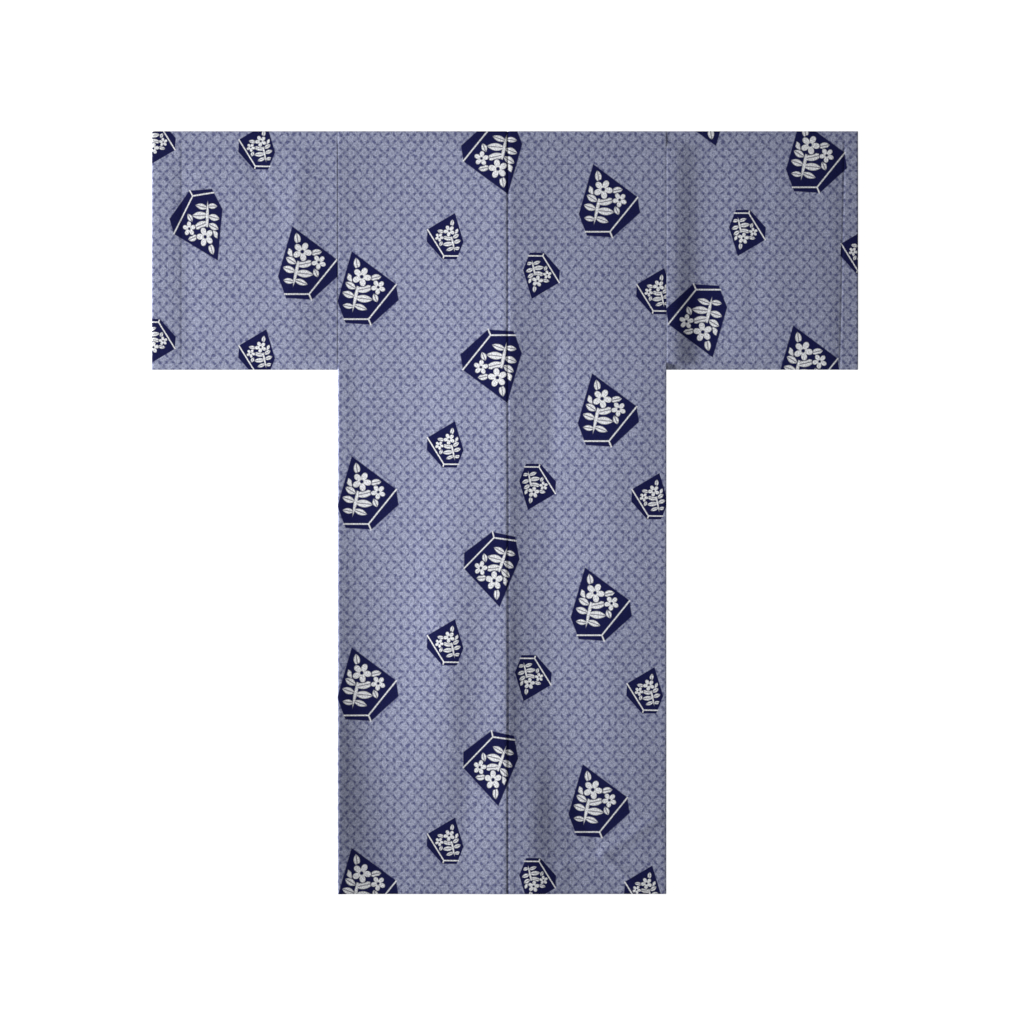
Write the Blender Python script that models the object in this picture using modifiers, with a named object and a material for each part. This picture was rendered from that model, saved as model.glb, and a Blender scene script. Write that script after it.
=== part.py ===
"""A cotton yukata laid flat with its back up, one solid for each piece that is cut and sewn.

Metres, +Z up. The shoulders are towards +Y, the hem is towards -Y and the floor is z = 0.
Left and right are as seen from above. Each piece starts as its flat cut, which is then laid in
place: a body or sleeve piece is folded over the shoulder line, with its back half on top.
"""

import collections
import math

import bmesh
import bpy
import numpy as np
from mathutils import Vector

# Sizes of the finished garment
LENGTH = 1.400
BACK_WIDTH = {"left": 0.310, "right": 0.293}
SLEEVE_WIDTH = {"left": 0.341, "right": 0.352}
SLEEVE_DROP = 0.438
FRONT_WIDTH = 0.240
OKUMI_WIDTH = 0.150
OKUMI_POINT_DROP = 0.230
NECK_HALF_WIDTH = 0.090
COLLAR_WIDTH = 0.055
COLLAR_START = 0.730

# Thickness of the cloth, gap at a seam, gap between stacked layers, radius of a fold's middle
CLOTH = 0.001
COLLAR_THICKNESS = 0.002
SEAM_GAP = 0.0003
LAYER_GAP = 0.0005
FOLD_RADIUS = 0.00115
FOLD_QUARTER = FOLD_RADIUS * math.pi / 2
FOLD_REACH = FOLD_RADIUS + CLOTH / 2

# Places across and along the garment
TOWARDS = {"left": -1, "right": 1}
HALF_SPAN = (sum(BACK_WIDTH.values()) + sum(SLEEVE_WIDTH.values())) / 2
SIDE_X = {side: TOWARDS[side] * (HALF_SPAN - SLEEVE_WIDTH[side]) for side in TOWARDS}
CENTRE_X = SIDE_X["left"] + BACK_WIDTH["left"]
NECK_X = {side: CENTRE_X + TOWARDS[side] * NECK_HALF_WIDTH for side in TOWARDS}
FRONT_EDGE_X = {side: SIDE_X[side] - TOWARDS[side] * FRONT_WIDTH for side in TOWARDS}
OKUMI_EDGE_X = {side: FRONT_EDGE_X[side] - TOWARDS[side] * OKUMI_WIDTH for side in TOWARDS}
TOP_Y = LENGTH / 2
HEM_Y = -TOP_Y
SLEEVE_BOTTOM_Y = TOP_Y - SLEEVE_DROP
UNDERARM_Y = SLEEVE_BOTTOM_Y - 1.5 * CLOTH
OKUMI_POINT_Y = TOP_Y - OKUMI_POINT_DROP
COLLAR_START_Y = HEM_Y + COLLAR_START
SHOULDER_Y = TOP_Y - FOLD_REACH
# Distance from the middle of the shoulder fold, along the cloth, to y = 0
CLOTH_TO_ZERO = SHOULDER_Y + FOLD_QUARTER
# The collar's width measured straight across, where it runs aslant
COLLAR_SPAN = COLLAR_WIDTH * math.hypot(1, OKUMI_WIDTH / (OKUMI_POINT_Y - COLLAR_START_Y))

# Heights of the middle of the cloth: on the floor, and on top beside a fold
FLOOR_MID = CLOTH / 2
TOP_MID = FLOOR_MID + 2 * FOLD_RADIUS
BODY_AIR = 0.0008
SLEEVE_AIR = 0.0020
AIR_REACH = {"body": 0.09, "sleeve": 0.07}
CUFF_SHARE = 0.4
HEM_SHARE = 0.7

# How the right pieces climb onto the left ones: the slope's far and near ends, off the edge below
CLIMB_FAR = 0.028
CLIMB_NEAR = 0.003

# Spacing of the edges that let the cloth bend
COLUMN = 0.019
ROW = 0.045
SLEEVE_ROW = 0.044

# Mound over the crossed fronts, by its place along the garment
Mound = collections.namedtuple("Mound", "y height half_width")
MOUND_SLOPE = 0.12
MOUNDS = (
    Mound(HEM_Y, 0.0015, 0.200),
    Mound(-0.060, 0.0015, 0.200),
    Mound(0.020, 0.0027, 0.229),
    Mound(OKUMI_POINT_Y, 0.0027, 0.140),
    Mound(TOP_Y - 0.040, 0.0, 0.170),
)

# Largest soft folds of the top cloth, from one end to the other. A trough has a negative height.
Fold = collections.namedtuple("Fold", "name x0 y0 x1 y1 half_width height")
FOLDS = (
    Fold("centre_ridge", -0.016, 0.560, -0.014, -0.660, 0.022, 0.0005),
    Fold("left_back_ridge", -0.119, 0.560, -0.125, -0.600, 0.040, 0.0005),
    Fold("right_back_ridge", 0.140, 0.560, 0.148, -0.600, 0.045, 0.0004),
    Fold("left_back_trough", -0.083, -0.090, -0.079, -0.640, 0.018, -0.0006),
    Fold("seam_trough", 0.030, -0.120, 0.024, -0.360, 0.018, -0.0006),
    Fold("hem_trough", 0.066, -0.480, 0.073, -0.680, 0.018, -0.0008),
    Fold("left_edge_trough", -0.262, -0.060, -0.246, -0.670, 0.022, -0.0006),
    Fold("right_edge_trough", 0.262, 0.150, 0.268, -0.560, 0.020, -0.0004),
    Fold("left_sleeve_trough", -0.545, 0.620, -0.565, 0.330, 0.030, -0.0006),
    Fold("right_sleeve_trough", 0.470, 0.640, 0.455, 0.320, 0.030, -0.0006),
)

PRINTED_COTTON = (0.255, 0.272, 0.390, 1.0)
COTTON_ROUGHNESS = 0.9


def share(distance, reach):
    """0 where the distance is negative, 1 where it passes the reach, straight between them."""
    return min(max(distance / reach, 0.0), 1.0)


def soft_share(distance, reach):
    """As share, with soft ends."""
    part = share(distance, reach)
    return part * part * (3 - 2 * part)


def collar_seam_x(side, y):
    """Where the collar is sewn on, and below it the free edge of the okumi."""
    rows = (COLLAR_START_Y, OKUMI_POINT_Y, TOP_Y)
    return float(np.interp(y, rows, (OKUMI_EDGE_X[side], FRONT_EDGE_X[side], NECK_X[side])))


def collar_span(y):
    """Width of a collar arm, straight across."""
    return float(np.interp(y, (OKUMI_POINT_Y, SHOULDER_Y), (COLLAR_SPAN, COLLAR_WIDTH)))


def lift(x, y):
    """How far a right-hand piece is raised by the left front, its okumi and its collar arm."""
    slope = CLIMB_FAR - CLIMB_NEAR
    beside_arm = share(y - COLLAR_START_Y + CLIMB_FAR, slope)
    seam = collar_seam_x("left", y)
    edge = seam + beside_arm * collar_span(y)
    on_left = share(edge + CLIMB_FAR - x, slope)
    on_arm = beside_arm * share(x - seam + CLIMB_FAR, slope)
    return on_left * (CLOTH + LAYER_GAP + on_arm * (COLLAR_THICKNESS - CLOTH))


def fold_height(x, y):
    """Sum of the soft folds at one place."""
    total = 0.0
    for fold in FOLDS:
        run = Vector((fold.x1 - fold.x0, fold.y1 - fold.y0))
        off = Vector((x - fold.x0, y - fold.y0))
        along = share(off.dot(run), run.length_squared)
        distance = (off - along * run).length
        total += fold.height * math.exp(-((distance / fold.half_width) ** 2))
    return total


def mound_height(x, y):
    """Height that the crossed fronts and the collar give the back above them."""
    rows = [mound.y for mound in MOUNDS]
    height = float(np.interp(y, rows, [mound.height for mound in MOUNDS]))
    reach = float(np.interp(y, rows, [mound.half_width for mound in MOUNDS]))
    middle = (OKUMI_EDGE_X["left"] + OKUMI_EDGE_X["right"]) / 2
    return height * soft_share(reach - abs(x - middle), MOUND_SLOPE)


def top_height(x, y):
    """Height of the middle of the top cloth. It comes down at each fold and at the armholes."""
    on_body = SIDE_X["left"] < x < SIDE_X["right"]
    reach = AIR_REACH["body" if on_body else "sleeve"]
    from_top = soft_share(SHOULDER_Y - y, reach)
    if on_body:
        from_side = soft_share(min(x - SIDE_X["left"], SIDE_X["right"] - x), reach)
        from_hem = HEM_SHARE + (1 - HEM_SHARE) * soft_share(y - HEM_Y, reach)
        rise = BODY_AIR + mound_height(x, y) + fold_height(x, y)
        return TOP_MID + rise * from_top * from_side * from_hem
    armhole = SIDE_X["left"] if x < 0 else SIDE_X["right"]
    from_side = soft_share(abs(x) - abs(armhole), reach)
    from_cuff = CUFF_SHARE + (1 - CUFF_SHARE) * soft_share(HALF_SPAN - abs(x), reach)
    from_bottom = soft_share(y - SLEEVE_BOTTOM_Y - FOLD_REACH, reach)
    rise = SLEEVE_AIR + fold_height(x, y)
    return TOP_MID + rise * from_top * from_side * from_cuff * from_bottom


def place_folded(x, v, under_height):
    """Place of a point of a folded piece: v is negative up the front and positive down the back."""
    if abs(v) < FOLD_QUARTER:
        angle = v / FOLD_RADIUS
        height = FLOOR_MID + FOLD_RADIUS * (1 + math.sin(angle))
        return Vector((x, SHOULDER_Y + FOLD_RADIUS * math.cos(angle), height))
    y = CLOTH_TO_ZERO - abs(v)
    return Vector((x, y, top_height(x, y) if v > 0 else FLOOR_MID + under_height(x, y)))


def flat_on_floor(x, y):
    """Rise of a piece that lies on the floor."""
    return 0.0


def new_cut(outline):
    """A flat sheet with the given corners."""
    sheet = bmesh.new()
    sheet.faces.new([sheet.verts.new((*corner, 0)) for corner in outline])
    return sheet


def crease(sheet, start, end, low=-math.inf, high=math.inf):
    """Adds edges along the line through two points, on the faces between two places along Y."""
    faces = [face for face in sheet.faces if low < face.calc_center_median().y < high]
    edges = {edge for face in faces for edge in face.edges}
    verts = {vert for face in faces for vert in face.verts}
    along = Vector((end[0] - start[0], end[1] - start[1], 0))
    bmesh.ops.bisect_plane(
        sheet,
        geom=[*verts, *edges, *faces],
        dist=1e-7,
        plane_co=(*start, 0),
        plane_no=along.cross((0, 0, 1)),
    )


def crease_across(sheet, y):
    crease(sheet, (-HALF_SPAN, y), (HALF_SPAN, y))


def crease_columns(sheet, low, high):
    """Edges along the garment, evenly spaced between two places across it."""
    for x in np.linspace(low, high, round(abs(high - low) / COLUMN) + 1)[1:-1]:
        crease(sheet, (x, -LENGTH), (x, LENGTH))


def crease_shoulder(sheet):
    """The edges that bend round the shoulder fold."""
    for quarters in (-1, -0.5, 0, 0.5, 1):
        crease_across(sheet, quarters * FOLD_QUARTER)


def crease_climb(sheet, offset, high):
    """The edges where a right-hand piece bends to climb onto the left ones.

    The offset takes a place along the garment to the sheet's own y.
    """
    rows = (COLLAR_START_Y, OKUMI_POINT_Y, SHOULDER_Y)
    for low_y, high_y in zip(rows, rows[1:]):
        for spans, off in ((0, -CLIMB_FAR), (0, -CLIMB_NEAR), (1, CLIMB_NEAR), (1, CLIMB_FAR)):
            line = [
                (collar_seam_x("left", y) + spans * collar_span(y) + off, y - offset)
                for y in (low_y, high_y)
            ]
            crease(sheet, *line, low=low_y - offset, high=high_y - offset)
    for off in (CLIMB_NEAR, CLIMB_FAR):
        x = OKUMI_EDGE_X["left"] + off
        start_y = COLLAR_START_Y - offset
        crease(sheet, (x, -LENGTH), (x, LENGTH), high=start_y - CLIMB_FAR)


def collar_rows():
    """The places along the garment where the collar starts, turns, and is climbed onto."""
    start = COLLAR_START_Y
    return (start - CLIMB_FAR, start - CLIMB_NEAR, start, OKUMI_POINT_Y)


def sew(sheet, tops, bottoms, outwards):
    """Closes a seam between two edges, one above the other, with a rounded strip."""
    rims = []
    for top, bottom in zip(tops, bottoms):
        rims.append(sheet.verts.new((top.co + bottom.co) / 2 + outwards * FOLD_RADIUS))
    for upper, lower in ((tops, rims), (rims, bottoms)):
        for i in range(len(rims) - 1):
            sheet.faces.new((upper[i], upper[i + 1], lower[i + 1], lower[i]))


def lay_folded(sheet, under_height):
    """Lays a flat cut in place over its fold, and returns where each point was on the cut."""
    cut_place = {vert: vert.co.copy() for vert in sheet.verts}
    for vert, place in cut_place.items():
        vert.co = place_folded(place.x, place.y, under_height)
    return cut_place


def edge_pairs(cut_place, on_edge, order):
    """The points of a seam's top and bottom edges, in matching order."""
    points = sorted((vert for vert, place in cut_place.items() if on_edge(place)), key=order)
    tops = [vert for vert in points if cut_place[vert].y > 0]
    bottoms = [vert for vert in points if cut_place[vert].y < 0]
    return tops, bottoms


def body_sheet(side):
    """A body length: the back from hem to shoulder, then the front down to the hem."""
    towards = TOWARDS[side]
    hem_v = CLOTH_TO_ZERO - HEM_Y
    point_v = OKUMI_POINT_Y - CLOTH_TO_ZERO
    underarm_v = CLOTH_TO_ZERO - UNDERARM_Y
    side_x = SIDE_X[side] - towards * FOLD_REACH
    centre_x = CENTRE_X + towards * SEAM_GAP / 2
    front_x = FRONT_EDGE_X[side]
    neck_x = NECK_X[side]
    sheet = new_cut((
        (side_x, hem_v),
        (centre_x, hem_v),
        (centre_x, FOLD_QUARTER),
        (neck_x, FOLD_QUARTER),
        (neck_x, 0),
        (front_x, point_v),
        (front_x, -hem_v),
        (side_x, -hem_v),
    ))
    crease_shoulder(sheet)
    for v in np.linspace(FOLD_QUARTER, hem_v, round(LENGTH / ROW) + 1)[1:-1]:
        crease_across(sheet, v)
        crease_across(sheet, -v)
    for y in (UNDERARM_Y, SLEEVE_BOTTOM_Y, OKUMI_POINT_Y):
        crease_across(sheet, CLOTH_TO_ZERO - y)
        crease_across(sheet, y - CLOTH_TO_ZERO)
    crease_columns(sheet, side_x, centre_x)
    if side == "right":
        for y in collar_rows():
            crease_across(sheet, y - CLOTH_TO_ZERO)
            crease_across(sheet, CLOTH_TO_ZERO - y)
        crease_climb(sheet, CLOTH_TO_ZERO, 0)
    cut_place = lay_folded(sheet, lift if side == "right" else flat_on_floor)
    tops, bottoms = edge_pairs(
        cut_place,
        lambda place: abs(place.x - side_x) < 1e-6 and abs(place.y) > underarm_v - 1e-6,
        lambda vert: abs(cut_place[vert].y),
    )
    sew(sheet, tops, bottoms, Vector((towards, 0, 0)))
    return sheet


def sleeve_sheet(side):
    """A sleeve: a length folded at the shoulder line and closed along the bottom."""
    towards = TOWARDS[side]
    bottom_v = CLOTH_TO_ZERO - SLEEVE_BOTTOM_Y - FOLD_REACH
    cuff_x = towards * HALF_SPAN
    armhole_x = SIDE_X[side] - towards * (FOLD_REACH - SEAM_GAP)
    sheet = new_cut((
        (cuff_x, bottom_v),
        (armhole_x, bottom_v),
        (armhole_x, -bottom_v),
        (cuff_x, -bottom_v),
    ))
    crease_shoulder(sheet)
    for v in np.linspace(FOLD_QUARTER, bottom_v, round(SLEEVE_DROP / SLEEVE_ROW) + 1)[1:-1]:
        crease_across(sheet, v)
        crease_across(sheet, -v)
    crease_columns(sheet, cuff_x, armhole_x)
    cut_place = lay_folded(sheet, flat_on_floor)
    tops, bottoms = edge_pairs(
        cut_place,
        lambda place: abs(place.y) > bottom_v - 1e-6,
        lambda vert: cut_place[vert].x,
    )
    sew(sheet, tops, bottoms, Vector((0, -1, 0)))
    return sheet


def okumi_sheet(side):
    """The overlap strip of a front: straight sides, and a top cut aslant for the collar."""
    seam_x = FRONT_EDGE_X[side] - TOWARDS[side] * SEAM_GAP
    free_x = OKUMI_EDGE_X[side]
    sheet = new_cut((
        (seam_x, HEM_Y),
        (free_x, HEM_Y),
        (free_x, COLLAR_START_Y),
        (seam_x, OKUMI_POINT_Y - SEAM_GAP),
    ))
    if side == "right":
        for y in collar_rows():
            crease_across(sheet, y)
        crease_climb(sheet, 0, TOP_Y)
        for vert in sheet.verts:
            vert.co.z = lift(vert.co.x, vert.co.y)
    bmesh.ops.translate(sheet, verts=sheet.verts[:], vec=(0, 0, FLOOR_MID))
    return sheet


def collar_stations():
    """Sewn and free ends of the lines where the collar starts or turns, and the side of each."""
    arms = {}
    for side, towards in TOWARDS.items():
        arms[side] = []
        for y in (COLLAR_START_Y, OKUMI_POINT_Y):
            sewn_x = collar_seam_x(side, y) - towards * 2 * SEAM_GAP
            free_x = collar_seam_x(side, y) - towards * collar_span(y)
            arms[side].append(((sewn_x, y), (free_x, y), towards))
        sewn = (NECK_X[side] - towards * 2 * SEAM_GAP, SHOULDER_Y)
        free = (NECK_X[side] - towards * COLLAR_WIDTH, SHOULDER_Y - COLLAR_WIDTH)
        arms[side].append((sewn, free, towards))
    return arms["left"] + arms["right"][::-1]


def collar_sheet():
    """One long strip up the left front, across the back of the neck and down the right front."""
    sheet = bmesh.new()
    side_layer = sheet.verts.layers.float.new("side")
    lines = []
    for sewn, free, towards in collar_stations():
        line = [sheet.verts.new((*sewn, 0)), sheet.verts.new((*free, 0))]
        for vert in line:
            vert[side_layer] = towards
        lines.append(line)
    for (sewn, free), (next_sewn, next_free) in zip(lines, lines[1:]):
        sheet.faces.new((sewn, free, next_free, next_sewn))
    for y in collar_rows():
        crease_across(sheet, y)
    crease_climb(sheet, 0, TOP_Y)
    for vert in sheet.verts:
        raised = lift(vert.co.x, vert.co.y) if vert[side_layer] > 0.5 else 0.0
        vert.co.z = COLLAR_THICKNESS / 2 + raised
    return sheet


def cotton(name):
    """The cloth's material."""
    material = bpy.data.materials.new(name)
    material.use_nodes = True
    shader = material.node_tree.nodes["Principled BSDF"]
    shader.inputs["Base Color"].default_value = PRINTED_COTTON
    shader.inputs["Roughness"].default_value = COTTON_ROUGHNESS
    shader.inputs["Metallic"].default_value = 0.0
    material.diffuse_color = PRINTED_COTTON
    return material


def make_piece(collection, name, sheet, thickness):
    """Gives a laid sheet its thickness, to both sides alike, and its material."""
    bmesh.ops.recalc_face_normals(sheet, faces=sheet.faces[:])
    mesh = bpy.data.meshes.new(name)
    sheet.to_mesh(mesh)
    sheet.free()
    mesh.materials.append(cotton(f"{name}_cotton"))
    mesh.shade_smooth()
    piece = bpy.data.objects.new(name, mesh)
    collection.objects.link(piece)
    wall = piece.modifiers.new("cloth", "SOLIDIFY")
    wall.thickness = thickness
    wall.offset = 0


def main():
    for item in list(bpy.data.objects):
        bpy.data.objects.remove(item)
    robe = bpy.data.collections.new("cotton_yukata")
    bpy.context.scene.collection.children.link(robe)
    for side in TOWARDS:
        make_piece(robe, f"body_{side}", body_sheet(side), CLOTH)
        make_piece(robe, f"sleeve_{side}", sleeve_sheet(side), CLOTH)
        make_piece(robe, f"okumi_{side}", okumi_sheet(side), CLOTH)
    make_piece(robe, "collar", collar_sheet(), COLLAR_THICKNESS)


main()
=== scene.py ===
"""A cotton yukata laid flat with its back up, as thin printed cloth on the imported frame.

Metres, +Z up, as in the frame. Heights of the soft relief are given in millimetres.
A body or sleeve piece is one cloth: v is the way along it from the shoulder fold, positive
down the back, which is on top, and negative down the front, which is on the floor.
"""

import collections
import math

import bpy
import numpy as np
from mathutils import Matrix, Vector


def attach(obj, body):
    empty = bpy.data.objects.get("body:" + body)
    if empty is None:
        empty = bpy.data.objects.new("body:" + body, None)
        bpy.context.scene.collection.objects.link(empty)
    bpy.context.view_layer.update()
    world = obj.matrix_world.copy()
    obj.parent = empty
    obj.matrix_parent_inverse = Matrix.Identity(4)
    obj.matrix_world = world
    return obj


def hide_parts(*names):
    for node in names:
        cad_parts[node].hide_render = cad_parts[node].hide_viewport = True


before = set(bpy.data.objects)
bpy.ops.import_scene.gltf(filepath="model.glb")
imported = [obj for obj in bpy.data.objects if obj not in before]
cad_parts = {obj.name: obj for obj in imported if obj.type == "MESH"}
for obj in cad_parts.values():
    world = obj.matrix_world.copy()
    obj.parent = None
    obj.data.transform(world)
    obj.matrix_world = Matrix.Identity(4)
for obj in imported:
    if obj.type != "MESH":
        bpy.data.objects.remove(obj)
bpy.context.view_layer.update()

MM = 0.001

# Finished sizes, as in the frame
LENGTH = 1.400
BACK_WIDTH = {"left": 0.310, "right": 0.293}
SLEEVE_WIDTH = {"left": 0.341, "right": 0.352}
SLEEVE_DROP = 0.438
FRONT_WIDTH = 0.240
OKUMI_WIDTH = 0.150
OKUMI_POINT_DROP = 0.230
NECK_HALF_WIDTH = 0.090
COLLAR_WIDTH = 0.055
COLLAR_START = 0.730

TOWARDS = {"left": -1, "right": 1}
HALF_SPAN = (sum(BACK_WIDTH.values()) + sum(SLEEVE_WIDTH.values())) / 2
SIDE_X = {side: TOWARDS[side] * (HALF_SPAN - SLEEVE_WIDTH[side]) for side in TOWARDS}
CENTRE_X = SIDE_X["left"] + BACK_WIDTH["left"]
NECK_X = {side: CENTRE_X + TOWARDS[side] * NECK_HALF_WIDTH for side in TOWARDS}
FRONT_EDGE_X = {side: SIDE_X[side] - TOWARDS[side] * FRONT_WIDTH for side in TOWARDS}
OKUMI_EDGE_X = {side: FRONT_EDGE_X[side] - TOWARDS[side] * OKUMI_WIDTH for side in TOWARDS}
TOP_Y = LENGTH / 2
HEM_Y = -TOP_Y
SLEEVE_BOTTOM_Y = TOP_Y - SLEEVE_DROP
OKUMI_POINT_Y = TOP_Y - OKUMI_POINT_DROP
COLLAR_START_Y = HEM_Y + COLLAR_START
COLLAR_SPAN = COLLAR_WIDTH * math.hypot(1, OKUMI_WIDTH / (OKUMI_POINT_Y - COLLAR_START_Y))

# Thin cloth, and how it lies
THIN = 0.7 * MM
HALF_THIN = THIN / 2
COLLAR_THICKNESS = 1.6 * MM
COLLAR_LIFT = 0.1 * MM
OKUMI_TOP_GAP = 0.002
OKUMI_FIRST_SHARE = 0.002
LAYER_GAP = 0.4 * MM
FLOOR_MID = 0.45 * MM
FOLD_RADIUS = {"body": 1.5 * MM, "sleeve": 1.25 * MM}
SEAM_GAP = 0.3 * MM
CLIMB_FAR = 0.028
CLIMB_NEAR = 0.003

# Where the relief fades out, at folds, sleeve bottoms and the closed sides of the body
FOLD_FLAT = 0.004
FOLD_FADE = 0.030
UNDERARM_FLAT = 0.002
UNDERARM_FADE = 0.012
CLOSE_REACH = 0.012

# How far the front follows the lifted side edge of the back
EDGE_LIFT_REACH = 0.060
EDGE_LIFT_FADE = 0.060

# Centre seam: the left edge curls down, and the right one dips and goes under it
CENTRE_CURL = 0.45 * MM
CENTRE_CLEARANCE = 0.1 * MM
CENTRE_TUCK = 4 * MM
CENTRE_DIP = 0.85 * MM
CENTRE_DIP_REACH = 7 * MM

# Armholes, where the sleeve goes under: millimetres from the seam, and the share of the depth
SLEEVE_TUCK = (
    (-5.0, 1.0), (-2.0, 1.0), (-0.3, 1.0), (-0.1, 0.85), (0.05, 0.5), (0.2, 0.15), (0.4, 0.0),
)
SLEEVE_TUCK_DEPTH = 1.0 * MM
SLEEVE_TUCK_SHIFT = {"left": 0.12 * MM, "right": 0.0}
SLEEVE_RISE = {"left": 0.62 * MM, "right": 0.38 * MM}
ARMHOLE_FLAT = {"left": 0.0, "right": 0.011}
ARMHOLE_REACH = {"left": 0.070, "right": 0.053}
EDGE_CURL = 0.2 * MM

# Turned hem and cuffs. A cuff's line is a groove, on the left with a ledge on the cuff's side
TURN_RADIUS = 0.45 * MM
HEM_TURN = 18 * MM
CUFF_TURN = {"left": 54 * MM, "right": 28 * MM}
STITCH_REACH = 1.7 * MM
STITCH_DEPTH = {"left": 0.14 * MM, "right": 0.35 * MM}
CUFF_LEDGE = {"left": 0.16 * MM, "right": 0.0}
LEDGE_REACH = 4 * MM
CUFF_SLANT = {"left": 0.0, "right": 0.02}
CUFF_LINE_Y = 0.53

# Steps of the grids, how many rows or columns a fold or a turn takes, and how far an edge curls
COLUMN = 5.0 * MM
BACK_ROW = 6.5 * MM
FRONT_ROW = 20 * MM
SLEEVE_ROW = 6.0 * MM
HIDDEN_STEP = 12 * MM
COLLAR_COLUMNS = 6
STITCH_COLUMN = 1.25 * MM
STITCH_ZONE = (-0.008, 0.009)
STITCH_CLEAR = (-0.010, 0.012)
FOLD_ROWS = 13
TURN_ROWS = 7
HEM_ROWS = 4
CURL_ROWS = {"body": 8, "sleeve": 7}
CENTRE_CURL_COLUMNS = 6
CENTRE_DIP_COLUMNS = 11
CUFF_INNER_COLUMNS = 6
CURL_DEGREES = 84
CENTRE_CURL_DEGREES = 82
SLOPE_STEP = 0.2 * MM
HAIR = 1e-9
SHORTEST = 1e-12

# Cross sections of the back, in millimetres above a flat cloth: a row for each place along
LEFT_ACROSS = (-307, -284, -257, -229, -193, -147, -101, -73, -46, 3)
LEFT_SECTIONS = {
    700: (0.2, -0.2, -0.4, -0.5, -0.4, 0.0, 0.8, 1.2, 1.7, 2.6),
    564: (0.3, -0.2, -0.5, -0.6, -0.4, 0.1, 0.9, 1.5, 1.9, 3.1),
    454: (0.3, 0.1, 0.5, 0.7, 1.0, 1.8, 2.6, 3.1, 3.5, 4.6),
    289: (0.3, -0.2, -0.3, -0.3, -0.1, 0.6, 1.8, 2.5, 3.0, 4.6),
    124: (0.5, 0.1, -0.2, -0.5, -0.4, 0.3, 1.6, 2.2, 2.6, 3.9),
    14: (0.8, -0.1, -0.3, -0.1, 0.2, 1.1, 2.5, 3.0, 3.4, 4.6),
    -96: (1.5, 0.3, -0.3, -0.4, -0.1, 1.0, 2.7, 3.0, 2.9, 3.6),
    -206: (2.5, 0.9, 0.0, -0.3, 0.2, 1.8, 3.8, 3.9, 3.7, 4.8),
    -317: (3.6, 2.1, 0.9, 0.4, 1.0, 2.8, 4.3, 3.6, 3.5, 4.9),
    -427: (6.0, 3.5, 2.2, 2.2, 3.0, 4.3, 5.4, 4.9, 4.9, 6.3),
    -537: (7.5, 5.1, 3.0, 2.2, 2.2, 3.0, 3.3, 2.7, 3.6, 5.7),
    -592: (7.0, 5.0, 3.1, 2.2, 2.1, 2.7, 2.8, 2.8, 3.8, 5.2),
    -700: (5.0, 4.0, 3.0, 2.0, 1.9, 2.2, 2.3, 2.6, 3.2, 4.2),
}
RIGHT_ACROSS = (3, 14, 28, 50, 70, 86, 128, 193, 248, 296)
RIGHT_SECTIONS = {
    700: (2.6, 2.3, 2.1, 2.0, 1.9, 1.8, 1.6, 1.4, 1.2, 1.0),
    564: (3.1, 2.7, 2.5, 2.3, 2.2, 2.1, 1.9, 1.8, 1.5, 1.4),
    454: (4.6, 4.3, 4.1, 4.0, 3.7, 3.5, 3.5, 3.4, 2.8, 2.0),
    289: (4.6, 4.3, 3.9, 3.2, 2.9, 2.7, 3.0, 3.5, 3.6, 3.3),
    124: (3.9, 3.2, 2.7, 2.3, 2.2, 2.2, 3.2, 4.6, 4.7, 4.1),
    14: (4.6, 3.7, 2.8, 2.2, 2.0, 2.1, 3.2, 4.2, 4.0, 3.8),
    -96: (3.6, 2.7, 2.1, 1.6, 1.4, 1.4, 2.4, 3.8, 4.2, 4.0),
    -206: (4.8, 3.5, 2.5, 2.0, 1.8, 1.7, 2.4, 3.4, 3.2, 2.7),
    -317: (4.9, 3.5, 2.5, 1.9, 1.6, 1.6, 2.5, 3.6, 3.5, 3.4),
    -427: (6.3, 4.8, 4.1, 3.5, 3.0, 2.6, 3.0, 4.3, 4.5, 4.3),
    -537: (5.7, 5.1, 5.1, 5.1, 3.8, 2.5, 2.0, 2.8, 3.0, 2.6),
    -592: (5.2, 4.5, 4.8, 4.8, 3.6, 2.5, 1.5, 1.9, 2.2, 2.1),
    -700: (4.2, 3.6, 3.7, 3.8, 3.6, 3.2, 2.2, 1.9, 2.0, 2.0),
}
SECTION_STEP = 2.0
SECTION_BLUR_ACROSS = 4
SECTION_BLUR_ALONG = 14
RELIEF_SCALE = 1.45

# Sleeves: heights in millimetres at places across, and how much of them each place along has
LEFT_SLEEVE_ACROSS = (-648, -632, -614, -602, -594, -575, -520, -440, -385, -350, -307)
LEFT_SLEEVE_HEIGHTS = (1.6, 1.55, 1.4, 1.1, 0.95, 0.95, 1.4, 2.1, 2.5, 2.2, 1.3)
RIGHT_SLEEVE_ACROSS = (296, 339, 367, 391, 431, 468, 505, 541, 578, 600, 615, 626, 648)
RIGHT_SLEEVE_HEIGHTS = (-0.3, -0.3, -0.1, 0.5, 2.0, 3.0, 3.3, 3.45, 3.7, 3.6, 3.1, 2.95, 2.9)
SLEEVE_ALONG = (262, 290, 340, 420, 600, 660, 700)
SLEEVE_SHARES = (0.0, 0.8, 1.0, 0.9, 0.6, 0.4, 0.0)

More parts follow.
